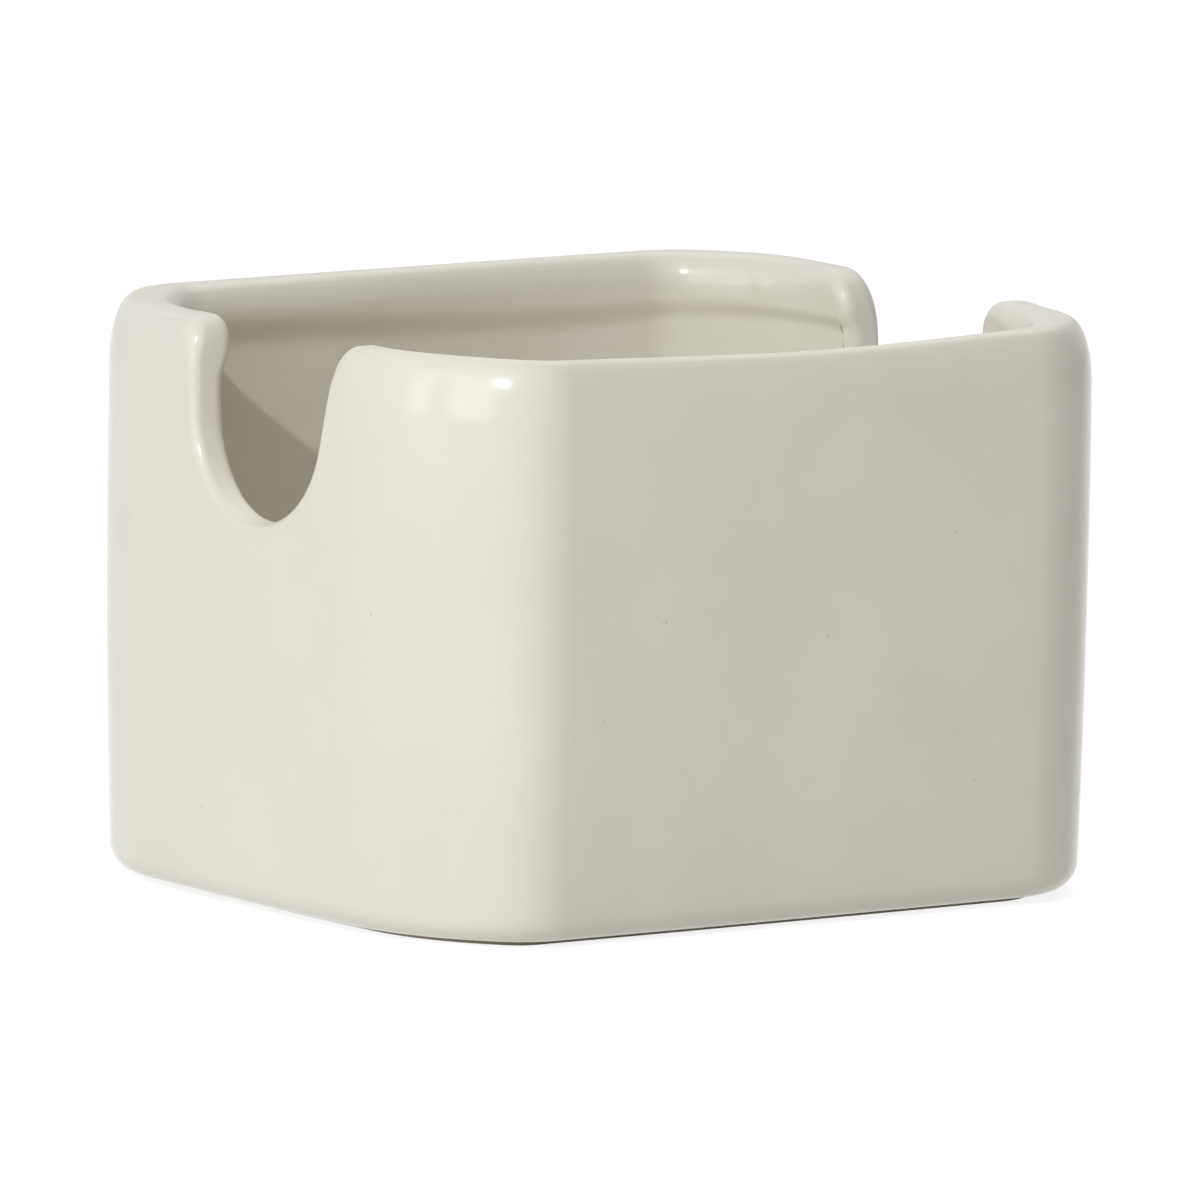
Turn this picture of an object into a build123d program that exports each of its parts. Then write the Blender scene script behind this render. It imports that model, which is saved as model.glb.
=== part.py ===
"""Sugar packet holder: a one-piece cast stoneware box with a finger notch in each end, under its fired glaze.

The frame has +Z up, +X along the holder towards the far notched end, and the origin on the table, midway
between the walls. Every size is in millimetres and is measured on the glazed surface, and the clay lies one
glaze thickness inside it.
"""

import math
import os

from build123d import *

# Plan and height
length = 88.0
width = 75.0
height = 60.0
corner_radius = 17.0
end_bow = 1.6
side_bow = 0.4

# Upright shape of the walls: drawn in at the base, and swelling a little at mid height
base_draw_in = 0.7
belly_swell = 0.4
base_radius = 2.2

# Walls, floor and the thicker lip inside the rim
wall = 4.0
lip_projection = 0.8
lip_height = 3.4
lip_slope_height = 3.4
lip_slope_radius = 8.0
floor_thickness = 4.6
floor_radius = 5.0

# Rolled edge, which runs along the rim and on round both finger notches
rim_outer_radius = 2.3
rim_inner_radius = 1.3

# Finger notches, cut by hand in the leather-hard clay, so that neither is quite on the middle line
notch_width = 23.8
notch_depth = 20.0
notch_flare = 7.0
notch_shoulder_radius = 4.0
near_notch_shift = -2.3
far_notch_shift = -0.4

# Unglazed foot ring, with a glazed recess inside it
foot_inset = 4.5
foot_width = 4.0
foot_height = 0.7
foot_edge_radius = 0.3
recess_depth = 1.5

# Fired glaze
glaze_thickness = 0.4

# Levels and thicknesses that follow from the sizes above
floor_level = recess_depth + floor_thickness
lip_level = height - lip_height
lip_slope_level = lip_level - lip_slope_height
lip_wall = wall + lip_projection
foot_outside = base_draw_in + foot_inset
foot_inside = foot_outside + foot_width

# Edge radii, held to what the wall and the foot leave room for
outer_roll = min(rim_outer_radius, 0.6 * wall)
inner_roll = min(rim_inner_radius, 0.35 * wall)
base_roll = min(base_radius, 0.8 * foot_inset)

# How far a cutting shape runs past the faces that it cuts
overrun = wall / 2


def draw_in(level):
    """How far the outer wall stands inside the plan at a height: a parabola through base, belly and rim."""
    share = level / height
    return base_draw_in * (1 - share) - 4 * belly_swell * share * (1 - share)


def plan_outline(inset):
    """The holder's plan, moved in by inset: four bowed sides joined by round corners.

    Each side is one arc through the ends that it would have without the corners, and a corner's arc touches the
    two beside it. The centres stay where they are as the plan moves in, so every wall keeps an even thickness.
    """
    end_x = length / 2 - end_bow
    side_y = width / 2 - side_bow
    end_radius = (side_y**2 + end_bow**2) / (2 * end_bow)
    side_radius = (end_x**2 + side_bow**2) / (2 * side_bow)
    end_centre = length / 2 - end_radius
    side_centre = width / 2 - side_radius

    # Triangle between the centres of an end, a side and the corner that joins them
    end_reach = end_radius - corner_radius
    side_reach = side_radius - corner_radius
    apart = math.hypot(end_centre, side_centre)
    turn = math.acos((end_reach**2 + apart**2 - side_reach**2) / (2 * end_reach * apart))
    end_turn = math.atan2(side_centre, -end_centre) + turn
    corner_x = end_centre + end_reach * math.cos(end_turn)
    corner_y = end_reach * math.sin(end_turn)
    end_angle = math.degrees(end_turn)
    side_angle = math.degrees(math.atan2(corner_y - side_centre, corner_x))
    corner_angle = side_angle - end_angle

    with BuildSketch() as plan:
        with BuildLine():
            for sign, start in ((1, 0), (-1, 180)):
                first_corner = (sign * corner_x, sign * corner_y)
                second_corner = (-sign * corner_x, sign * corner_y)
                CenterArc((sign * end_centre, 0), end_radius - inset, start - end_angle, 2 * end_angle)
                CenterArc(first_corner, corner_radius - inset, start + end_angle, corner_angle)
                CenterArc((0, sign * side_centre), side_radius - inset, start + side_angle, 180 - 2 * side_angle)
                CenterArc(second_corner, corner_radius - inset, start + 180 - side_angle, corner_angle)
        make_face()
    return plan.sketch


def notch_outline(middle, depth_in):
    """A finger notch, a flared U with rounded shoulders, for a surface that lies depth_in under the glaze.

    Its round bottom is the one arc that touches both flared sides at the stated depth.
    """
    flare = math.radians(notch_flare)
    half = notch_width / 2
    bottom = height - notch_depth
    bottom_radius = (half - notch_depth * math.tan(flare)) * math.cos(flare) / (1 - math.sin(flare))
    side_x = bottom_radius * math.cos(flare)
    side_z = bottom + bottom_radius * (1 - math.sin(flare))
    bar = half + notch_shoulder_radius + overrun
    with BuildSketch() as notch:
        with BuildLine():
            ThreePointArc((middle - side_x, side_z), (middle, bottom), (middle + side_x, side_z))
            Polyline(
                (middle + side_x, side_z),
                (middle + half, height),
                (middle + bar, height),
                (middle + bar, height + overrun),
                (middle - bar, height + overrun),
                (middle - bar, height),
                (middle - half, height),
                (middle - side_x, side_z),
            )
        make_face()
        rim_corners = notch.vertices().group_by(Axis.Y)[1].sort_by(Axis.X)
        fillet(rim_corners[1:3], notch_shoulder_radius)
        offset(amount=depth_in)
    return notch.sketch


def rolled_edges(form, depth_in):
    """The outer and inner edges of the rim and notches, as two lists.

    A rim face looks straight up or lies along the length inside a notch. An edge that two rim faces share only
    crosses the wall, and of the others those outside the middle of the wall are the outer ones.
    """
    rim_level = height - depth_in
    wall_reach = length / 2 - 2 * lip_wall
    notch_reach = width / 2 - corner_radius
    tops = form.faces().filter_by(Axis.Z).filter_by_position(Axis.Z, rim_level - 0.01, rim_level + 0.01)
    cuts = form.faces().filter_by(
        lambda face: abs(face.center().X) > wall_reach
        and abs(face.center().Y) < notch_reach
        and abs(face.normal_at(face.center()).X) < 0.1
        and face.center().Z > floor_level + floor_radius
    )
    rim_faces = [*tops, *cuts]
    edges = [edge for face in rim_faces for edge in face.edges()]
    free_edges = [edge for edge in edges if sum(edge.is_same(other) for other in edges) == 1]
    with BuildPart() as wall_middle:
        with BuildSketch():
            add(plan_outline(wall / 2))
        extrude(amount=height + overrun)
    inner = [edge for edge in free_edges if wall_middle.part.is_inside(edge @ 0.5)]
    outer = [edge for edge in free_edges if not wall_middle.part.is_inside(edge @ 0.5)]
    return outer, inner


def cavity_form(depth_in):
    """The space inside the holder, which follows the outside at the wall's thickness up to the lip."""
    cavity_floor = floor_level - depth_in
    with BuildPart() as cavity:
        for level in (cavity_floor, height / 2, lip_slope_level):
            with BuildSketch(Plane.XY.offset(level)):
                add(plan_outline(draw_in(level) + wall - depth_in))
        loft()
        floor_edges = cavity.edges().filter_by_position(Axis.Z, cavity_floor - 0.01, cavity_floor + 0.01)
        fillet(floor_edges, floor_radius + depth_in)

        # Slope in to the lip, and the straight mouth above it
        for level, thickness in ((lip_slope_level, wall), (lip_level, lip_wall)):
            with BuildSketch(Plane.XY.offset(level)):
                add(plan_outline(draw_in(level) + thickness - depth_in))
        loft()
        with BuildSketch(Plane.XY.offset(lip_level)):
            add(plan_outline(draw_in(lip_level) + lip_wall - depth_in))
        extrude(amount=lip_height + overrun)
        for level in (lip_slope_level, lip_level):
            fillet(cavity.edges().filter_by_position(Axis.Z, level - 0.01, level + 0.01), lip_slope_radius)
    return cavity.part


def holder_form(depth_in):
    """The holder's body without its foot ring, for a surface that lies depth_in under the glazed one."""
    base_level = foot_height + depth_in
    rim_level = height - depth_in
    with BuildPart() as form:
        # Outside, lofted through the base, the belly and the rim
        for level in (base_level, height / 2, rim_level):
            with BuildSketch(Plane.XY.offset(level)):
                add(plan_outline(draw_in(level) + depth_in))
        loft()
        base_edges = form.edges().filter_by_position(Axis.Z, base_level - 0.01, base_level + 0.01)
        fillet(base_edges, base_roll - depth_in)

        add(cavity_form(depth_in), mode=Mode.SUBTRACT)

        # Finger notches through both ends
        cut_length = lip_wall + end_bow + 2 * overrun
        near_start = -length / 2 - overrun
        far_start = length / 2 + overrun - cut_length
        with BuildSketch(Plane.YZ.offset(near_start)):
            add(notch_outline(near_notch_shift, depth_in))
        extrude(amount=cut_length, mode=Mode.SUBTRACT)
        with BuildSketch(Plane.YZ.offset(far_start)):
            add(notch_outline(far_notch_shift, depth_in))
        extrude(amount=cut_length, mode=Mode.SUBTRACT)

        # Rolled edge
        outer, inner = rolled_edges(form, depth_in)
        fillet(outer, outer_roll - depth_in)
        outer, inner = rolled_edges(form, depth_in)
        fillet(inner, inner_roll - depth_in)
    return form.part


def foot_ring():
    """The ring that the holder stands on, with softened edges, which runs up into the base of the clay."""
    with BuildPart() as ring:
        with BuildSketch():
            add(plan_outline(foot_outside))
            add(plan_outline(foot_inside), mode=Mode.SUBTRACT)
        extrude(amount=recess_depth)
        fillet(ring.edges().filter_by_position(Axis.Z, -0.01, 0.01), foot_edge_radius)
    return ring.part


os.makedirs("parts", exist_ok=True)

# Fired clay body, which stands on a bare foot ring
with BuildPart() as stoneware_body:
    add(holder_form(glaze_thickness))
    with BuildSketch():
        add(plan_outline(foot_inside))
    extrude(amount=recess_depth + glaze_thickness, mode=Mode.SUBTRACT)
    add(foot_ring())
stoneware_body.part.label = "stoneware_body"
export_step(stoneware_body.part, "parts/stoneware_body.step")

# Glaze over the outside, the rim, the notches and the inside, which stops at the foot ring
with BuildPart() as glaze_coat:
    add(holder_form(0))
    add(stoneware_body.part, mode=Mode.SUBTRACT)
    with BuildSketch():
        add(plan_outline(foot_outside))
    extrude(amount=recess_depth + glaze_thickness, mode=Mode.SUBTRACT)
glaze_coat.part.label = "glaze_coat"
export_step(glaze_coat.part, "parts/glaze_coat.step")

# Glaze inside the foot ring
with BuildPart() as base_glaze:
    with BuildSketch(Plane.XY.offset(recess_depth)):
        add(plan_outline(foot_inside))
    extrude(amount=glaze_thickness)
base_glaze.part.label = "base_glaze"
export_step(base_glaze.part, "parts/base_glaze.step")
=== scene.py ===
# %% [markdown]
# # A sugar packet holder in cream glazed stoneware
#
# The holder is a small open box of stoneware with round corners. It was cast in a mould, two finger notches
# were cut in its ends while the clay was still soft, and it was then dipped in a shiny cream glaze and
# fired. This lesson builds its three layers, the glaze, the clay and the glaze under the base, as surfaces
# worked out with numpy, and then the finishes, the camera and the light.
#
# The imported model comes first. It is the fixed frame that every piece has to fit.

# %% Load the imported model
import math

import bpy
import numpy as np
from mathutils import Matrix, Vector


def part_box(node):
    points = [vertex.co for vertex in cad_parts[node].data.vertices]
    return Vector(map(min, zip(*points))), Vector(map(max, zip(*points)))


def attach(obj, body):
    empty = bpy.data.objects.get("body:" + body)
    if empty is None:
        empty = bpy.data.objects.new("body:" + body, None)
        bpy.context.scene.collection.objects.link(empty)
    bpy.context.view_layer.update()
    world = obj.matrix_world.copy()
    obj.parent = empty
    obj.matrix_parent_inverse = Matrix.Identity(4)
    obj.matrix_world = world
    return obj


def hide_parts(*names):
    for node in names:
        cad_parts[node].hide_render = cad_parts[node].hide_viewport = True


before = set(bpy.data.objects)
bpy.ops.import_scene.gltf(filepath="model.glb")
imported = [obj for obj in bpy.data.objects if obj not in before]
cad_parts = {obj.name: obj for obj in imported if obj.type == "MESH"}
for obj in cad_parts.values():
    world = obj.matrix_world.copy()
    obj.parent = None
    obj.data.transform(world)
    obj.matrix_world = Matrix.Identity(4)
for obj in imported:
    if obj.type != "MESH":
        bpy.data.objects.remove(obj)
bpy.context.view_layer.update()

# %% [markdown]
# ## Sizes
#
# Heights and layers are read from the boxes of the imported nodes, and the rest are the holder's own
# measurements. They could be written in metres as Blender wants them, but a potter thinks in millimetres,
# so everything here is in millimetres and turns into metres only when a mesh is made.

# %% Read the levels from the frame and state the sizes
MM = 0.001

coat_low, coat_high = (np.array(corner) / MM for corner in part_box("glaze_coat"))
base_low, base_high = (np.array(corner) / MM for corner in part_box("base_glaze"))
height = coat_high[2]
base_level = coat_low[2]
recess_level = base_low[2]
glaze_thickness = base_high[2] - base_low[2]

half_length = 44.0
half_width = 37.5
end_bow = 1.6
side_bow = 0.4
base_draw_in = 0.7
belly_swell = 0.4

wall = 4.0
lip_projection = 0.8
lip_level = 54.9
base_radius = 2.6
floor_level = 6.1
floor_radius = 5.0
foot_outside = 5.2
foot_inside = half_length - base_high[0]
foot_edge_radius = 0.3
print(
    f"height {height:.2f}, base at {base_level:.2f}, recess at {recess_level:.2f}, "
    f"glaze {glaze_thickness:.2f} mm thick"
)

# %% [markdown]
# ## The plan
#
# Seen from above, each side of the holder is a very flat arc, and each corner turns gently out of the end
# and then more tightly into the long side, the near corner most of all. A Bezier curve could trace that,
# but true arcs are exact, and moving the outline inwards only shortens their radii. The plan is therefore a
# function of two numbers: how far to walk round the holder, and how far to step in.

# %% Work out a quarter of the plan
# Each corner: radius of its gentle arc, radius of its tight arc, and the bearing in degrees where they meet
most_corners = (19.5, 12.5, 50)
near_corner = (27.5, 9.8, 45)

end_radius = ((half_width - side_bow) ** 2 + end_bow**2) / (2 * end_bow)
side_radius = ((half_length - end_bow) ** 2 + side_bow**2) / (2 * side_bow)
end_centre = np.array([half_length - end_radius, 0.0])
side_centre = np.array([0.0, half_width - side_radius])


def quarter_plan(gentle_radius, tight_radius, meeting):
    """A quarter of the plan, from mid end to mid side: the angles, radii and centres of its arcs.

    The gentle arc's centre is where two circles cross: one of centres that touch the end from inside, and
    one of centres from which the tight arc, set on at the meeting angle, touches the side.
    """
    meeting = math.radians(meeting)
    shift = (gentle_radius - tight_radius) * np.array([math.cos(meeting), math.sin(meeting)])
    end_reach, side_reach = end_radius - gentle_radius, side_radius - tight_radius
    apart = side_centre - shift - end_centre
    gap = np.hypot(*apart)
    forward = (end_reach**2 - side_reach**2 + gap**2) / (2 * gap)
    sideways = math.sqrt(end_reach**2 - forward**2)
    gentle_centre = end_centre + (forward * apart + sideways * np.array([-apart[1], apart[0]])) / gap
    tight_centre = gentle_centre + shift
    end_angle = math.atan2(gentle_centre[1], gentle_centre[0] - end_centre[0])
    side_angle = math.atan2(tight_centre[1] - side_centre[1], tight_centre[0])
    return (
        np.array([0.0, end_angle, meeting, side_angle, math.pi / 2]),
        np.array([end_radius, gentle_radius, tight_radius, side_radius]),
        np.array([end_centre, gentle_centre, tight_centre, side_centre]),
    )


print(f"the ends are arcs of {end_radius:.0f} mm and the sides of {side_radius:.0f} mm")

# %% Join the four quarters
# The quarters in turn, every second one drawn backwards. A quarter's arcs share out a common length, so that
# the middles of the sides stay a quarter of the way round from each other
turn_widths, arc_radius, arc_centre, arc_lengths = [], [], [], []
for number, (signs, corner) in enumerate((
    ((1, 1), most_corners), ((-1, 1), most_corners), ((-1, -1), near_corner), ((1, -1), most_corners)
)):
    angles, radii, centres = quarter_plan(*corner)
    lengths = radii * np.diff(angles)
    if number == 0:
        quarter_length = lengths.sum()
    order = -1 if number % 2 else 1
    turn_widths.append(np.diff(angles)[::order])
    arc_radius.append(radii[::order])
    arc_centre.append((centres * signs)[::order])
    arc_lengths.append(lengths[::order] * quarter_length / lengths.sum())
arc_angle = np.concatenate([[0.0], np.cumsum(np.concatenate(turn_widths))])
arc_start = np.concatenate([[0.0], np.cumsum(np.concatenate(arc_lengths))])
arc_radius, arc_centre = np.concatenate(arc_radius), np.concatenate(arc_centre)
girth = arc_start[-1]


def plan_point(along, inset):
    """The plan's x and y: the centre of the arc at this distance along, plus its radius less the inset."""
    along = along % girth
    arc = np.minimum(np.searchsorted(arc_start, along, side="right") - 1, len(arc_radius) - 1)
    angle = np.interp(along, arc_start, arc_angle)
    reach = arc_radius[arc] - inset
    return arc_centre[arc, 0] + reach * np.cos(angle), arc_centre[arc, 1] + reach * np.sin(angle)


corner_middle = (arc_start[1] + arc_start[3]) / 2
print(f"the outline is {girth:.1f} mm round, corners {arc_start[3] - arc_start[1]:.1f} mm long")

# %% [markdown]
# ## The rim and its two notches
#
# The rim is one unbroken edge. It runs level along the walls and dips round each finger notch. If the walls
# were unrolled on the table, that edge would be a path of straight runs and round bends, so it is drawn as
# a path is walked: how far to go, and how much to turn on the way. Cutting the notches out with a Boolean
# would be quicker to write, but it leaves a hard edge that no bevel can round as softly as a sponge rounds
# wet clay.

# %% Walk along the rim
notch_depth = 19.7
near_notch_middle = girth / 2 + 1.6
far_notch_middle = girth - 0.4
walk_start = girth / 4

# Each side of a notch, cut by hand: radius of its shoulder, flare in degrees and radius at the bottom
near_notch_sides = ((2.6, 3.0, 10.75), (3.2, 14.0, 11.5))
far_notch_sides = ((3.6, 7.0, 11.0), (4.2, 2.5, 11.7))


def side_run(shoulder_radius, flare, bottom_radius):
    """A notch's side: the angle it turns through, its straight length, and its reach from middle to rim.

    The depth less what the two bends drop is left for the straight, and the reach adds up what all three
    cover.
    """
    turn = math.radians(90 - flare)
    bends = bottom_radius + shoulder_radius
    straight = (notch_depth - bends * (1 - math.cos(turn))) / math.sin(turn)
    return turn, straight, bends * math.sin(turn) + straight * math.cos(turn)


runs, turns, position = [], [], walk_start
for middle, (way_in, way_out) in (
    (near_notch_middle, near_notch_sides), (far_notch_middle, far_notch_sides)
):
    turn_in, straight_in, reach_in = side_run(*way_in)
    turn_out, straight_out, reach_out = side_run(*way_out)
    runs += [middle - reach_in - position, way_in[0] * turn_in, straight_in, way_in[2] * turn_in]
    runs += [way_out[2] * turn_out, straight_out, way_out[0] * turn_out]
    turns += [0.0, -turn_in, 0.0, turn_in, turn_out, 0.0, -turn_out]
    position = middle + reach_out
runs.append(walk_start + girth - position)
turns.append(0.0)

steps = 40000
walk_length = sum(runs)
step = walk_length / steps
walked = (np.arange(steps) + 0.5) * step
milestones = np.concatenate([[0.0], np.cumsum(runs)])
heading = np.interp(walked, milestones, np.concatenate([[0.0], np.cumsum(turns)]))
walk_along = walk_start + np.cumsum(np.cos(heading)) * step
walk_level = height + np.cumsum(np.sin(heading)) * step
rim_gap = walk_along[-1] - walk_start - girth
print(f"the rim is {walk_length:.1f} mm long and ends {rim_gap:.4f} mm from where it began")

# %% [markdown]
# ## Columns
#
# The surface hangs from the rim in columns, one from about every half millimetre of that edge. Under a
# notch they have to spread out again before they reach the base, so the base gets a smoothed copy of the
# walk. The same smoothing tells where the edge changes from the soft rim to the tighter edge of a notch.

# %% Place the columns
columns = 600


def smoothed(values, width):
    """The values blurred round the closed rim by a bell curve this many mm wide: their waves, each damped."""
    waves = np.fft.rfftfreq(steps, step)
    return np.fft.irfft(np.fft.rfft(values) * np.exp(-2 * (math.pi * width * waves) ** 2), steps)


def at_columns(values):
    """The values of the walk, read at evenly spaced columns."""
    return np.interp(np.arange(columns) * walk_length / columns, walked, values)


# Widths in mm of the blurs: columns spreading under a notch, rim turning into notch edge, and notch shoulders
base_blur, edge_blur, shoulder_blur = 8.0, 1.9, 1.4

# Milestones 1 to 7 bound the near notch and 8 to 14 the far one, and the first and last run of each is a
# shoulder
shoulder_margin = 2.0
notch_ends = [(milestones[k] - shoulder_margin, milestones[k + 6] + shoulder_margin) for k in (1, 8)]
at_notch = sum(((walked > start) & (walked < end)).astype(float) for start, end in notch_ends)
shoulder_ends = [(milestones[k], milestones[k + 1]) for k in (1, 6, 8, 13)]
at_shoulder = sum(((walked > start) & (walked < end)).astype(float) for start, end in shoulder_ends)


def bell(along, middle, width, most):
    """A bell curve on the closed outline: how much a hand-finished wall strays, most at the middle."""
    away = (along - middle + girth / 2) % girth - girth / 2
    return most * np.exp(-((away / width) ** 2))


# Where the rim sags: middle, width and depth
rim_sags = ((3 * girth / 4 + 2.5, 29.0, 1.15), (girth - 22.0, 17.0, 0.55), (14.0, 7.0, 0.35))
rim_sag = sum(bell(walk_along, *sag) for sag in rim_sags)

rim_along = at_columns(walk_along)
rim_level = at_columns(walk_level - rim_sag)
rim_heading = at_columns(heading)
base_along = at_columns(walk_start + np.cumsum(smoothed(np.cos(heading), base_blur)) * step)
notch_share = at_columns(np.clip(smoothed(at_notch, edge_blur), 0.0, 1.0))
shoulder_share = at_columns(np.clip(smoothed(at_shoulder, shoulder_blur), 0.0, 1.0))
print(f"{columns} columns, {walk_length / columns:.2f} mm apart at the rim")

# %% [markdown]
# ## The wall's profile
#
# One profile runs up the outside, over the rim and down the inside to the floor. Outside, the wall is drawn
# in at the foot, swells a little at mid height and leans over into the rim in a long soft shoulder. Inside,
# it steps back under a thicker lip and meets the floor in a wide curve. The profile is carried along the
# rim as a sweep would be, but its roundings change on the way, which a plain sweep could not do.

# %% State the roundings and the wall's thickness
# How far each rounded edge reaches down the wall, and how far in
rim_shoulder = (6.6, 2.5)
rim_inner_edge = (3.6, 2.1)
notch_edge = (1.0, 1.1)
notch_inner_edge = (1.5, 1.4)

# What a notch's shoulder adds to its outer edge, and how much longer the rim's shoulder is at the near
# corner: middle, width and amount
shoulder_rounding = (1.5, 1.2)
near_corner_drop = (girth / 2 + corner_middle, 24.0, 1.3)

# Height of the step under the lip, and where the step and lip stray from even: middle, width and amount
lip_step = 4.2
back_droop = (girth / 4 - 16.0, 26.0, 1.2)
far_droop = (12.0, 16.0, 0.7)
far_crispness = (5.0, 45.0, 2.4)
back_softness = (girth / 4 + 24.0, 30.0, 0.7)
back_swell = (girth / 4 + 28.0, 27.0, 1.2)

# Corners that are fuller inside, all but the near one
corner_fill, corner_fill_width = 2.0, 12.0
corner_middles = [corner_middle, girth / 2 - corner_middle, girth - corner_middle]


def draw_in(level):
    """How far the wall stands inside the plan at a height: a parabola through base, belly and rim."""
    share = level / height
    return base_draw_in * (1 - share) - 4 * belly_swell * share * (1 - share)


def thickness(along, level):
    """The wall's thickness: the wall, fuller in the corners, and the lip above a smooth S-shaped step.

    The step droops along the back wall and at the far end, where it is also the crispest, and the lip stands
    out most at the back towards the near end.
    """
    fuller = sum(bell(along, middle, corner_fill_width, corner_fill) for middle in corner_middles)
    step_level = lip_level - bell(along, *back_droop) - bell(along, *far_droop)
    step_height = lip_step - bell(along, *far_crispness) + bell(along, *back_softness)
    lip = lip_projection + bell(along, *back_swell)
    share = np.clip((level - step_level) / step_height + 0.5, 0.0, 1.0)
    return wall + fuller + lip * share**3 * (10 - 15 * share + 6 * share**2)


print(f"the wall is {wall:.1f} mm thick, and up to {wall + corner_fill:.1f} mm in the corners")

# %% [markdown]
# ## Rows up the outside
#
# The columns are cut by rows, which lie close together where the surface bends and far apart where it is
# nearly flat. A Subdivision Surface modifier could smooth a coarser net, but it would shrink the roundings,
# so each rounding has enough rows of its own.

# %% Lay the outside rows
def along_rim(rim_value, notch_value):
    """A size that changes from its value on the rim to its value in a notch."""
    return rim_value + (notch_value - rim_value) * notch_share


def under_rim(depth):
    """Place on the unrolled wall at a depth under the rim, square to its edge: along and level."""
    return rim_along + depth * np.sin(rim_heading), rim_level - depth * np.cos(rim_heading)


def between(start, end, shares):
    """Rows from one row of columns to another, at these shares of the way."""
    return start + (end - start) * shares[:, None]


def spread(count):
    """Count even shares of a way, without its start."""
    return np.linspace(0.0, 1.0, count + 1)[1:]


quarter_rows, flat_rows, rise_rows = 15, 4, 26
quarter = np.linspace(0.0, math.pi / 2, quarter_rows)[:, None]
even = np.ones(columns)

# Under the base, from the foot ring out, and the rounding up into the wall
flat_shares = np.linspace(0.0, 1.0, flat_rows)
flat_inset = between(foot_outside * even, (base_draw_in + base_radius) * even, flat_shares)
flat_level = base_level + 0 * flat_inset
roll = quarter[2::2]
roll_level = base_level + base_radius * (1 - np.cos(roll)) * even
roll_inset = draw_in(roll_level) + base_radius * (1 - np.sin(roll)) * even

# Outer wall, in straight lines on the unrolled wall, up to where the shoulder starts
outer_drop, outer_in = (along_rim(*pair) for pair in zip(rim_shoulder, notch_edge))
outer_drop = outer_drop + bell(rim_along, *near_corner_drop) * (1 - notch_share)
outer_drop = outer_drop + shoulder_rounding[0] * shoulder_share
outer_in = outer_in + shoulder_rounding[1] * shoulder_share
shoulder_along, shoulder_level = under_rim(outer_drop)
rise = spread(rise_rows)[:-1]
wall_along = between(base_along, shoulder_along, rise)
wall_level = between((base_level + base_radius) * even, shoulder_level, rise)

# Shoulder of the rim, up to the crest
outer_along, outer_level = under_rim(outer_drop * (1 - np.sin(quarter)))
outer_depth = outer_in * (1 - np.cos(quarter))
outside_rows = len(flat_inset) + len(roll_inset) + len(wall_along)
print(f"{outside_rows} rows from the foot to the shoulder, and {len(outer_depth)} over it")

# %% [markdown]
# ## Rows down the inside
#
# From the crest the rows turn over the inner edge, run down the lip, which needs close rows where it steps
# back, and end in the curve into the floor. Outside and inside could be two surfaces joined at the crest,
# but one run of rows leaves no seam there for a highlight to catch on.

# %% Lay the inside rows
# Crest and inner edge of the rim
inner_drop, inner_in = (along_rim(*pair) for pair in zip(rim_inner_edge, notch_inner_edge))
crest_depth = between(outer_in, thickness(rim_along, rim_level) - inner_in, np.array([1 / 3, 2 / 3]))
edge_along, edge_level = under_rim(inner_drop * (1 - np.cos(quarter[::2])))
edge_depth = thickness(edge_along, edge_level) - inner_in * (1 - np.sin(quarter[::2]))

# Inner wall, with close rows in its upper part, and the curve into the floor
lip_rows, wall_rows, lip_part = 20, 14, 0.17
fall = np.concatenate([lip_part * spread(lip_rows), lip_part + (1 - lip_part) * spread(wall_rows)])
inside_along = between(edge_along[-1], base_along, fall)
inside_level = between(edge_level[-1], (floor_level + floor_radius) * even, fall)
curve = quarter[2::2]
curve_level = floor_level + floor_radius * (1 - np.sin(curve)) * even
curve_depth = thickness(base_along, floor_level) + floor_radius * (1 - np.cos(curve)) * even

row_along = np.concatenate([
    base_along + 0 * flat_inset, base_along + 0 * roll_inset, wall_along,
    outer_along, rim_along + 0 * crest_depth, edge_along, inside_along, base_along + 0 * curve_level,
])
row_level = np.concatenate([
    flat_level, roll_level, wall_level, outer_level, rim_level + 0 * crest_depth,
    edge_level, inside_level, curve_level,
])
row_inset = np.concatenate([
    flat_inset, roll_inset, draw_in(wall_level), draw_in(outer_level) + outer_depth,
    draw_in(rim_level) + crest_depth, draw_in(edge_level) + edge_depth,
    draw_in(inside_level) + thickness(inside_along, inside_level),
    draw_in(floor_level + floor_radius) + curve_depth,
])
print(f"{len(row_along)} rows from the foot to the floor")

# %% [markdown]
# ## The glazed surface
#
# The rows become points in space by the plan, and the floor is the last row shrunk to its middle. A
# mould-cast wall is never quite true: it warps a little as it dries and the glaze runs thick and thin,
# which is what makes the reflections on it waver. That could be a bump map, but then the outline would stay
# as straight as a machined part, so the waves are in the shape itself. They only ever take clay away, which
# keeps the surface inside the CAD box.

# %% Turn rows into points and let the walls waver
# The waves fade out towards the foot, and towards the rim down to a sixth
wave_depth = 0.11
wave_count = 9
foot_fade, rim_fade = 10.0, 12.0
rim_rest = rim_fade / 6
rng = np.random.default_rng(20)
wave_round = rng.integers(4, 17, wave_count) * rng.choice([-1, 1], wave_count)
wave_up = rng.uniform(0.2, 1.7, wave_count) / height
wave_phase = rng.uniform(0, 1, wave_count)


def outward(rings):
    """Unit normals of a grid: the step to the next column crossed with the step to the next ring."""
    across = np.roll(rings, -1, axis=1) - np.roll(rings, 1, axis=1)
    normals = np.cross(across, np.gradient(rings, axis=0))
    return normals / np.linalg.norm(normals, axis=2, keepdims=True)


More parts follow.
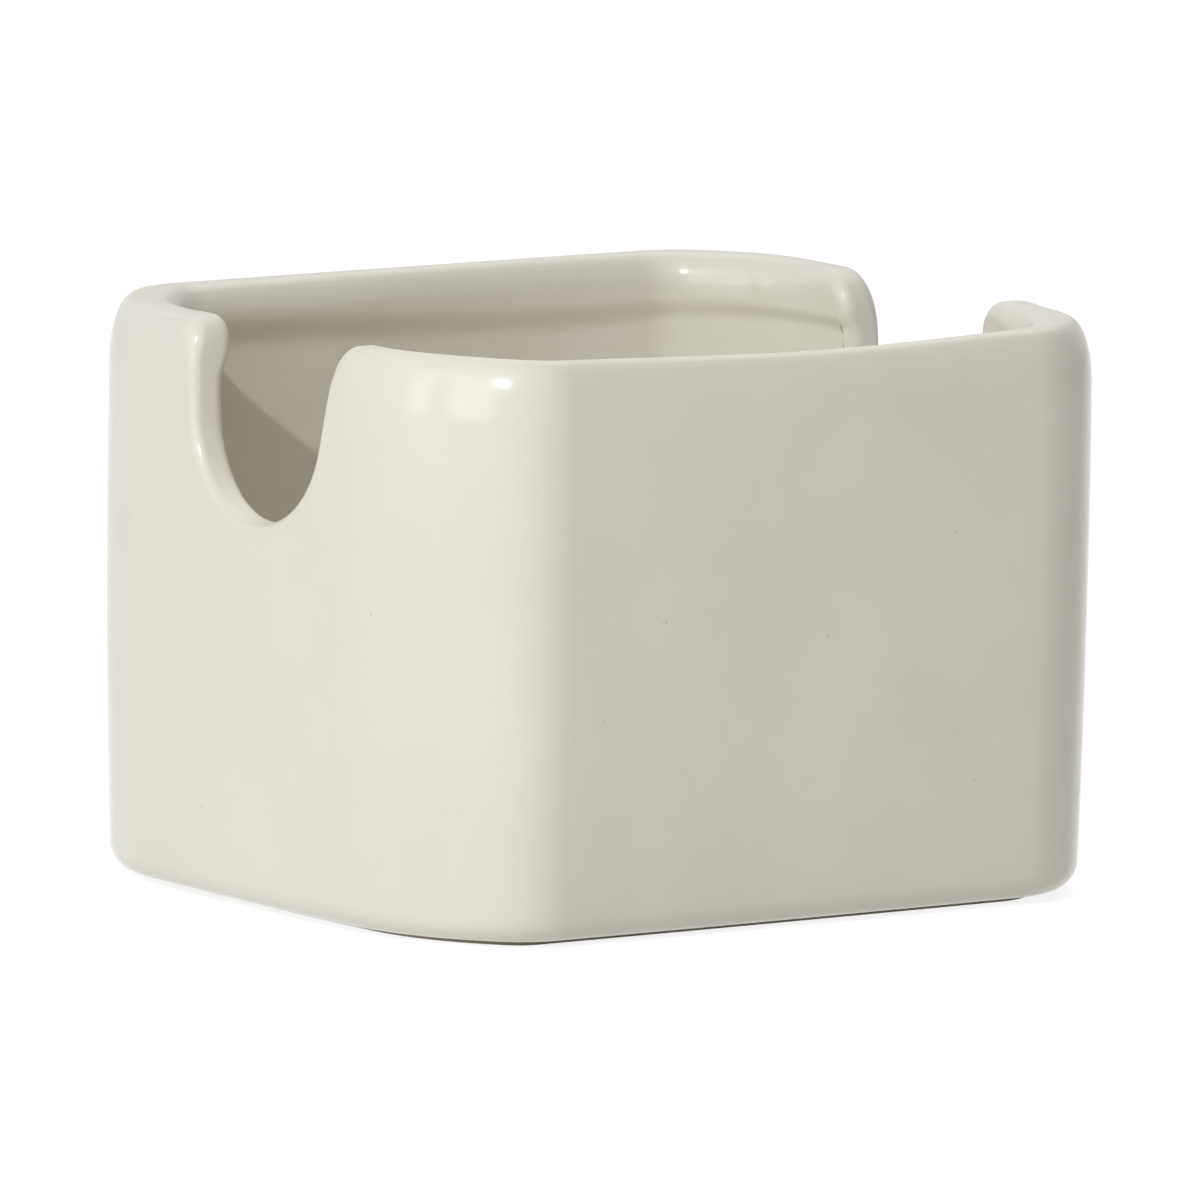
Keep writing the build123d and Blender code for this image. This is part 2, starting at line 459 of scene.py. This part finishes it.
def waver(along, level):
    """Hollows of the hand-finished wall, about 0 to 1: a mean of slanting waves that close round the plan."""
    turns = wave_round * (along / girth)[..., None] + wave_up * level[..., None] + wave_phase
    return 0.5 - 0.5 * np.cos(2 * math.pi * turns).mean(axis=2) * math.sqrt(wave_count) / 2


row_x, row_y = plan_point(row_along, row_inset)
wall_rings = np.stack([row_x, row_y, row_level], axis=2)
from_foot = np.clip((row_level - base_level) / foot_fade, 0.0, 1.0)
from_rim = np.clip((height + rim_rest - row_level) / rim_fade, 0.0, 1.0)
fade = from_foot * from_rim
hollow = wave_depth * np.clip(waver(row_along, row_level), 0.0, 1.0) * fade
wall_rings = wall_rings - outward(wall_rings) * hollow[..., None]

floor_rows, floor_dome = 14, 0.25
floor_shares = 1 - spread(floor_rows)[:-1]
floor_rings = wall_rings[-1] * floor_shares[:, None, None]
floor_rings[..., 2] = wall_rings[-1, :, 2] * floor_shares[:, None] ** 2 + (
    (floor_level + floor_dome) * (1 - floor_shares[:, None] ** 2)
)
skin_rings = np.concatenate([wall_rings, floor_rings])
floor_middle = np.array([0.0, 0.0, floor_level + floor_dome])
lowest, highest = skin_rings.min((0, 1)).round(2), skin_rings.max((0, 1)).round(2)
print("glazed surface:", skin_rings.shape, "lowest", lowest, "highest", highest)

# %% [markdown]
# ## From grid to mesh
#
# Every layer is a stack of closed rings, shut at both ends by a fan of triangles, so one function makes
# them all. Its columns run counter-clockwise from above and its rings start under the piece and climb its
# outside, which turns all the faces outwards without asking Blender to recalculate them.

# %% Make a closed mesh from rings
def ring_piece(name, rings, first_middle, last_middle, node, slot, **marks):
    """A closed mesh: quads between neighbouring rings and columns, and a fan to the middle point at each end.

    The marks are values per ring and column, kept as attributes for the materials.
    """
    rows = len(rings)
    points = np.concatenate([rings.reshape(-1, 3), [first_middle, last_middle]]) * MM
    here = np.arange(rows * columns).reshape(rows, columns)
    beside = np.roll(here, -1, axis=1)
    quads = np.stack([here[:-1], beside[:-1], beside[1:], here[1:]], axis=2).reshape(-1, 4)
    first, last = np.full(columns, rows * columns), np.full(columns, rows * columns + 1)
    fans = np.concatenate([
        np.stack([first, beside[0], here[0]], axis=1), np.stack([here[-1], beside[-1], last], axis=1)
    ])
    mesh = bpy.data.meshes.new(name)
    mesh.from_pydata(points.tolist(), [], quads.tolist() + fans.tolist())
    mesh.polygons.foreach_set("use_smooth", np.ones(len(mesh.polygons), bool))
    for mark, values in marks.items():
        layer = mesh.attributes.new(mark, "FLOAT", "POINT")
        middles = [values[0, 0], values[-1, 0]]
        layer.data.foreach_set("value", np.concatenate([values.ravel(), middles]).astype(np.float32))
    piece = bpy.data.objects.new(name, mesh)
    bpy.context.scene.collection.objects.link(piece)
    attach(piece, "root")
    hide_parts(node)
    print(f"{name}: {len(points)} points, {2 * len(quads) + len(fans)} triangles")
    return piece


# %% [markdown]
# ## Glaze
#
# The glaze is a glassy layer less than half a millimetre thick. As one closed shell it has an outer side,
# which is the surface above, and an inner side on the clay, which is the same surface moved in along its
# normals. A Solidify modifier would do that too, but the clay body needs the inner side as well, so it is
# worked out once, with fewer rings, because nobody sees it. The hollow curve into the floor keeps all its
# rings, or the clay would cut across it and show through. A mark on the outer side tells the material how
# near the crest of the rim is.

# %% Make the glaze
hidden_step = 4
curve_end = len(wall_rings)
curve_rows = np.arange(curve_end - len(curve_level) - 2, curve_end + 2)
sparse_rows = np.arange(0, len(skin_rings), hidden_step)
hidden_rows = np.unique(np.concatenate([sparse_rows, curve_rows, [len(skin_rings) - 1]]))
clay_rings = (skin_rings - glaze_thickness * outward(skin_rings))[hidden_rows]
clay_middle = floor_middle - [0.0, 0.0, glaze_thickness]

# How near the crest each ring is, which fades quickly down the outside and slowly down the inside
crest_run = np.concatenate([
    np.sin(quarter[:, 0]) ** 6, np.ones(len(crest_depth)), np.cos(quarter[::2, 0]) ** 2
])
crest_mark = np.zeros(len(skin_rings))
crest_mark[outside_rows : outside_rows + len(crest_run)] = crest_run
shell_rings = np.concatenate([clay_rings[::-1], skin_rings])
shell_mark = np.concatenate([np.zeros(len(clay_rings)), crest_mark])[:, None] * even
glaze_skin = ring_piece(
    "glaze_skin", shell_rings, clay_middle, floor_middle, "glaze_coat", "cream_glaze", crest=shell_mark
)

# %% [markdown]
# ## Clay
#
# Under the glaze is the fired clay. All that shows of it is the foot ring, which is wiped clean before
# firing so that the glaze does not stick to the kiln shelf. The clay's rings start in the middle of the
# recess under the base, go round the foot ring and then follow the inner side of the glaze.

# %% Make the clay body
edge = quarter[::3, 0]
recess_shares = np.array([0.15, 0.4, 0.7, 1.0])
ring_inset = np.concatenate([
    foot_inside + 0 * edge[:1],
    foot_inside - foot_edge_radius * (1 - np.cos(edge)),
    foot_outside + foot_edge_radius * (1 - np.sin(edge)),
])
ring_level = np.concatenate([
    [(recess_level + glaze_thickness) / 2],
    foot_edge_radius * (1 - np.sin(edge)),
    foot_edge_radius * (1 - np.cos(edge)),
])
foot_x, foot_y = plan_point(base_along + 0 * ring_inset[:, None], ring_inset[:, None])
foot_rings = np.stack([foot_x, foot_y, ring_level[:, None] + 0 * foot_x], axis=2)
recess_x, recess_y = plan_point(base_along, foot_inside)
recess_edge = np.stack([recess_x, recess_y, (recess_level + glaze_thickness) * even], axis=1)
level_shares = np.ones_like(recess_shares)
recess_rings = recess_edge * np.stack([recess_shares, recess_shares, level_shares], axis=1)[:, None]
body_rings = np.concatenate([recess_rings, foot_rings, clay_rings])
recess_middle = np.array([0.0, 0.0, recess_level + glaze_thickness])
clay_body = ring_piece("clay_body", body_rings, recess_middle, clay_middle, "stoneware_body", "bare_clay")

# %% [markdown]
# ## Glaze under the base
#
# Inside the foot ring the base is glazed too. The patch is a thin plate that fills the recess, a little
# thinner in the middle, where the glaze drew back to the foot ring as it melted.

# %% Make the glaze under the base
patch_shares = np.array([0.12, 0.3, 0.5, 0.7, 0.85, 0.94, 1.0])
draw_back = 0.15
lower_level = recess_level + draw_back * (1 - patch_shares**6)
lower_x, lower_y = patch_shares[:, None] * recess_x, patch_shares[:, None] * recess_y
lower = np.stack([lower_x, lower_y, lower_level[:, None] * even], axis=2)
upper = lower[::-1].copy()
upper[..., 2] = recess_level + glaze_thickness
base_patch = ring_piece(
    "base_patch", np.concatenate([lower, upper]), [0.0, 0.0, recess_level + draw_back], recess_middle,
    "base_glaze", "cream_glaze",
)

# %% [markdown]
# ## Materials
#
# Colours are picked as sRGB hex values, and Blender's shaders work in linear light, so one function
# converts them. A second one adds a node with its settings and links, which keeps each material short
# enough to read as a recipe.

# %% Colour and node helpers
def linear(hex_colour):
    """An sRGB hex colour as linear red, green, blue and alpha, by the sRGB curve."""
    srgb = np.array([int(hex_colour[k : k + 2], 16) for k in (1, 3, 5)]) / 255
    light = np.where(srgb <= 0.04045, srgb / 12.92, ((srgb + 0.055) / 1.055) ** 2.4)
    return (*light, 1.0)


def add_node(tree, kind, inputs=None, **settings):
    """Adds a node with its settings, and sets or links its inputs, which are given by name or number."""
    node = tree.nodes.new(kind)
    for name, value in settings.items():
        setattr(node, name, value)
    for name, value in (inputs or {}).items():
        if isinstance(value, bpy.types.NodeSocket):
            tree.links.new(value, node.inputs[name])
        else:
            node.inputs[name].default_value = value
    return node


def new_material(name):
    """A node material that has no nodes yet, as a pair of the material and its node tree."""
    material = bpy.data.materials.new(name)
    material.use_nodes = True
    material.node_tree.nodes.clear()
    return material, material.node_tree


def waves_per_metre(size_mm):
    """A texture's scale from the size of its pattern in millimetres, on Object coordinates in metres."""
    return 1 / (size_mm * MM)


# %% [markdown]
# ### Cream glaze
#
# A cream glossy glaze is opaque white glass with a little iron in it. It gives the eye an even warm white
# with a clear gloss, clouds of a slightly deeper cream where it ran thicker, a paler and less shiny line
# along the rim where it ran thin, a faint orange-peel in its reflections, and a few pinholes where gas
# escaped in the kiln.

# %% Cream glossy glaze
def cream_glossy_glaze():
    """Glossy cream with clouds, thin on the crest, with pinholes and a faint orange-peel."""
    material, tree = new_material("cream_glossy_glaze")
    place = add_node(tree, "ShaderNodeTexCoord").outputs["Object"]

    # Clouds: their size in mm, and the noise values at which the deeper and the usual cream are reached
    cloud_size, cloud_low, cloud_high = 16.0, 0.3, 0.7
    clouds = add_node(
        tree, "ShaderNodeTexNoise",
        {"Vector": place, "Scale": waves_per_metre(cloud_size), "Detail": 3.0, "Roughness": 0.55},
    )
    cream = add_node(tree, "ShaderNodeValToRGB", {"Fac": clouds.outputs["Fac"]})
    thick, usual = cream.color_ramp.elements
    thick.position, thick.color = cloud_low, linear("#E5E0D5")
    usual.position, usual.color = cloud_high, linear("#E9E5DB")
    crest = add_node(tree, "ShaderNodeAttribute", attribute_name="crest").outputs["Fac"]
    thin = add_node(
        tree, "ShaderNodeMix",
        {"Factor": crest, "A": cream.outputs["Color"], "B": linear("#EAE6DD")}, data_type="RGBA",
    )

    # Pinholes a third of a millimetre wide, one to each 6 mm cell of space, so that few lie on the surface
    pinhole_cell, pinhole_radius, flat_share = 6.0, 0.17, 0.4
    cells = add_node(tree, "ShaderNodeTexVoronoi", {"Vector": place, "Scale": waves_per_metre(pinhole_cell)})
    pinhole = add_node(
        tree, "ShaderNodeMapRange",
        {"Value": cells.outputs["Distance"], "From Min": flat_share * pinhole_radius / pinhole_cell,
         "From Max": pinhole_radius / pinhole_cell, "To Min": 1.0, "To Max": 0.0},
    ).outputs["Result"]
    colour = add_node(
        tree, "ShaderNodeMix",
        {"Factor": pinhole, "A": thin.outputs["Result"], "B": linear("#C4BDB0")}, data_type="RGBA",
    )

    # Orange-peel, drawn coarser than the real one so that it shows at this distance
    peel_size, pinhole_depth = 3.5, 1.5
    peel = add_node(
        tree, "ShaderNodeTexNoise", {"Vector": place, "Scale": waves_per_metre(peel_size), "Detail": 2.0}
    )
    pitted = add_node(
        tree, "ShaderNodeMath",
        {0: pinhole, 1: -pinhole_depth, 2: peel.outputs["Fac"]}, operation="MULTIPLY_ADD",
    )
    bump = add_node(
        tree, "ShaderNodeBump", {"Strength": 0.12, "Distance": 0.15 * MM, "Height": pitted.outputs["Value"]}
    )

    # Clear gloss, clearest where the glaze is thick, and satin on the crest
    crest_satin = 0.35
    gloss = add_node(
        tree, "ShaderNodeMapRange",
        {"Value": clouds.outputs["Fac"], "From Min": cloud_low, "From Max": cloud_high,
         "To Min": 0.08, "To Max": 0.13},
    )
    satin = add_node(
        tree, "ShaderNodeMath",
        {0: crest, 1: crest_satin, 2: gloss.outputs["Result"]}, operation="MULTIPLY_ADD",
    )
    shader = add_node(
        tree, "ShaderNodeBsdfPrincipled",
        {"Base Color": colour.outputs["Result"], "Roughness": satin.outputs["Value"], "IOR": 1.5,
         "Normal": bump.outputs["Normal"]},
    )
    add_node(tree, "ShaderNodeOutputMaterial", {"Surface": shader.outputs["BSDF"]})
    print(f"{material.name}: {len(tree.nodes)} nodes")
    return material


glaze_material = cream_glossy_glaze()
glaze_skin.data.materials.append(glaze_material)
base_patch.data.materials.append(glaze_material)

# %% [markdown]
# ### Bare stoneware
#
# Fired stoneware without glaze is matt and buff, and a wiped foot ring shows the sand grains in the clay
# and faint clouds in its colour. It is rough to the eye, with almost no gloss.

# %% Wiped bare stoneware
def wiped_bare_stoneware():
    """Matt buff clay with clouds and darker grains of sand."""
    material, tree = new_material("wiped_bare_stoneware")
    place = add_node(tree, "ShaderNodeTexCoord").outputs["Object"]
    grain_size, cloud_size = 0.6, 9.0
    grain = add_node(
        tree, "ShaderNodeTexNoise", {"Vector": place, "Scale": waves_per_metre(grain_size), "Detail": 4.0}
    )
    clouds = add_node(
        tree, "ShaderNodeTexNoise", {"Vector": place, "Scale": waves_per_metre(cloud_size), "Detail": 2.0}
    )
    buff = add_node(tree, "ShaderNodeValToRGB", {"Fac": clouds.outputs["Fac"]})
    deep, pale = buff.color_ramp.elements
    deep.position, deep.color = 0.3, linear("#C9BCA4")
    pale.position, pale.color = 0.7, linear("#D8CDB8")
    sand = add_node(
        tree, "ShaderNodeMapRange", {"Value": grain.outputs["Fac"], "From Min": 0.62, "From Max": 0.7}
    )
    colour = add_node(
        tree, "ShaderNodeMix",
        {"Factor": sand.outputs["Result"], "A": buff.outputs["Color"], "B": linear("#A8977C")},
        data_type="RGBA",
    )
    bump = add_node(
        tree, "ShaderNodeBump", {"Strength": 0.5, "Distance": 0.1 * MM, "Height": grain.outputs["Fac"]}
    )
    shader = add_node(
        tree, "ShaderNodeBsdfPrincipled",
        {"Base Color": colour.outputs["Result"], "Roughness": 0.85, "Normal": bump.outputs["Normal"]},
    )
    add_node(tree, "ShaderNodeOutputMaterial", {"Surface": shader.outputs["BSDF"]})
    print(f"{material.name}: {len(tree.nodes)} nodes")
    return material


clay_body.data.materials.append(wiped_bare_stoneware())

# %% [markdown]
# ## Camera
#
# The holder is seen from a little above, with its near end on the left and its long side on the right. A
# long lens far away gives the nearly parallel edges of a product picture. The camera's axes are worked out
# from its bearing, its height and a slight roll, which is easier to check than a set of Euler angles.

# %% Set the camera
camera_bearing = math.radians(35.117)
camera_rise = math.radians(7.858)
camera_roll = math.radians(0.84)
camera_distance = 2053.3
pixels_per_mm = 9.743
frame_pixels = 1200
aim_right, aim_up = 0.336, -0.743

right = Vector((math.cos(camera_bearing), -math.sin(camera_bearing), 0.0))
level_share = math.cos(camera_rise)
back = Vector((
    -math.sin(camera_bearing) * level_share, -math.cos(camera_bearing) * level_share, math.sin(camera_rise)
))
up = back.cross(right)
rolled_right = right * math.cos(camera_roll) + up * math.sin(camera_roll)
rolled_up = up * math.cos(camera_roll) - right * math.sin(camera_roll)
aim = Vector((0.0, 0.0, height / 2)) + rolled_right * aim_right + rolled_up * aim_up
camera = bpy.data.objects.new("camera", bpy.data.cameras.new("camera"))
camera.matrix_world = Matrix.Translation((aim + back * camera_distance) * MM) @ (
    Matrix((rolled_right, rolled_up, back)).transposed().to_4x4()
)
camera.data.sensor_width = 36.0
camera.data.lens = camera.data.sensor_width * pixels_per_mm * camera_distance / frame_pixels
camera.data.clip_start, camera.data.clip_end = 0.1, 20.0
bpy.context.scene.collection.objects.link(camera)
bpy.context.scene.camera = camera
print(f"lens {camera.data.lens:.0f} mm at {camera_distance / 1000:.2f} m")

# %% [markdown]
# ## Light
#
# The picture was lit like a catalogue: two tall softboxes on the left, whose reflections stand as pale
# patches on the near corner, a small bare lamp beside them, which throws the slanting shadow inside, a
# softbox high over the long side and one behind that brings out the rim. Lamps are placed by the bearing
# they shine from, counted from the near end towards the long side, by their height above the table and by
# their distance. Their light is nearly white.

# %% Place the lamps
flash_tint = "#FCFDF6"


def studio_lamp(name, bearing, rise, distance, size, level):
    """A rectangular lamp that faces the holder, as bright as gives this level on a surface facing it.

    An area light's power spreads so that the light on a facing surface is power / (pi * distance ** 2) and a
    white surface shows it divided by pi, so the power is level * pi ** 2 * distance ** 2.
    """
    lamp = bpy.data.lights.new(name, "AREA")
    lamp.shape = "RECTANGLE"
    lamp.size, lamp.size_y = size
    lamp.energy = level * math.pi**2 * distance**2
    lamp.color = linear(flash_tint)[:3]
    bearing, rise = math.radians(bearing), math.radians(rise)
    level_share = math.cos(rise)
    towards = Vector((-math.cos(bearing) * level_share, -math.sin(bearing) * level_share, math.sin(rise)))
    holder = bpy.data.objects.new(name, lamp)
    holder.matrix_world = Matrix.Translation(towards * distance + Vector((0.0, 0.0, height / 2 * MM))) @ (
        towards.to_track_quat("Z", "Y").to_matrix().to_4x4()
    )
    bpy.context.scene.collection.objects.link(holder)
    print(f"{name}: {lamp.energy:.2f} W")


studio_lamp("left_softbox", bearing=-3, rise=20, distance=1.0, size=(0.18, 0.6), level=0.059)
studio_lamp("right_softbox", bearing=21, rise=20, distance=1.0, size=(0.33, 0.6), level=0.109)
studio_lamp("bare_lamp", bearing=34.5, rise=29, distance=1.0, size=(0.02, 0.02), level=0.275)
studio_lamp("front_softbox", bearing=60, rise=45, distance=0.5, size=(0.5, 0.4), level=0.12)
studio_lamp("back_softbox", bearing=215, rise=58, distance=1.0, size=(0.8, 0.8), level=0.36)

# %% [markdown]
# ## Room
#
# The room fills the shadows with an even warm light, and its wall on the left, which the flash lights up,
# is much brighter. To the camera, and in reflections, the room is pure white instead. A picture of a studio
# wrapped round the scene could light it too, but two plain shaders are easier to tune.

# %% Light the room
room_level = 0.07
room_tint = "#FFCDBE"
lit_wall_level = 0.76
lit_wall_tint = "#E3F3FD"
lit_wall_bearing = math.radians(10)


def seen_itself(tree):
    """1 for what is seen by the camera, in a reflection or through glass, and 0 for what only gives light."""
    path = add_node(tree, "ShaderNodeLightPath").outputs
    seen = path["Is Camera Ray"]
    for way in ("Is Glossy Ray", "Is Transmission Ray"):
        seen = add_node(tree, "ShaderNodeMath", {0: seen, 1: path[way]}, operation="MAXIMUM").outputs["Value"]
    return seen


world = bpy.data.worlds.new("white_room")
bpy.context.scene.world = world
world.use_nodes = True
tree = world.node_tree
tree.nodes.clear()
fill = add_node(tree, "ShaderNodeBackground", {"Color": linear(room_tint), "Strength": room_level})
towards_wall = add_node(
    tree, "ShaderNodeVectorMath",
    {0: add_node(tree, "ShaderNodeTexCoord").outputs["Generated"],
     1: (-math.cos(lit_wall_bearing), -math.sin(lit_wall_bearing), 0.0)}, operation="DOT_PRODUCT",
)
wall_light = add_node(
    tree, "ShaderNodeMapRange",
    {"Value": towards_wall.outputs["Value"], "To Min": 0.0, "To Max": lit_wall_level},
)
lit_wall = add_node(
    tree, "ShaderNodeBackground", {"Color": linear(lit_wall_tint), "Strength": wall_light.outputs["Result"]}
)
light = add_node(
    tree, "ShaderNodeAddShader", {0: fill.outputs["Background"], 1: lit_wall.outputs["Background"]}
)
white = add_node(tree, "ShaderNodeBackground", {"Color": linear("#FFFFFF"), "Strength": 1.0})
room = add_node(
    tree, "ShaderNodeMixShader",
    {0: seen_itself(tree), 1: light.outputs["Shader"], 2: white.outputs["Background"]},
)
add_node(tree, "ShaderNodeOutputWorld", {"Surface": room.outputs["Shader"]})
print(f"{world.name}: {len(tree.nodes)} nodes")

# %% [markdown]
# ## Table
#
# The table is a sheet of white paper. To the camera it glows up to white like the room, but it keeps a
# share of its own shading, so that the holder's shadow still falls on it, and the glow makes up what its
# open part lacks to white. A shadow catcher could do that too, but it is meant for a transparent
# background, and this one is white.

# %% Lay the table
shadow_share = 0.45
open_table_level = 0.36
table_material, tree = new_material("white_paper_table")
glow_level = (1 - shadow_share * open_table_level) / (1 - shadow_share)
glow_share = add_node(
    tree, "ShaderNodeMath", {0: seen_itself(tree), 1: 1 - shadow_share}, operation="MULTIPLY"
)
paper = add_node(tree, "ShaderNodeBsdfDiffuse", {"Color": linear("#F4F4F2")})
glow = add_node(tree, "ShaderNodeEmission", {"Color": linear("#FFFFFF"), "Strength": glow_level})
mixed = add_node(
    tree, "ShaderNodeMixShader",
    {0: glow_share.outputs["Value"], 1: paper.outputs["BSDF"], 2: glow.outputs["Emission"]},
)
add_node(tree, "ShaderNodeOutputMaterial", {"Surface": mixed.outputs["Shader"]})

table_reach = 6.0
table_mesh = bpy.data.meshes.new("table")
corners = np.array([(-1, -1, 0), (1, -1, 0), (1, 1, 0), (-1, 1, 0)]) * table_reach
table_mesh.from_pydata(corners.tolist(), [], [(0, 1, 2, 3)])
table_mesh.materials.append(table_material)
table = bpy.data.objects.new("table", table_mesh)
bpy.context.scene.collection.objects.link(table)
bpy.context.scene.view_settings.view_transform = "Standard"
print(f"table {2 * table_reach:.0f} m wide, glow {glow_level:.2f}")

# %% [markdown]
# ## Finish
#
# The view layer is brought up to date at the end.

# %% Finish
bpy.context.view_layer.update()
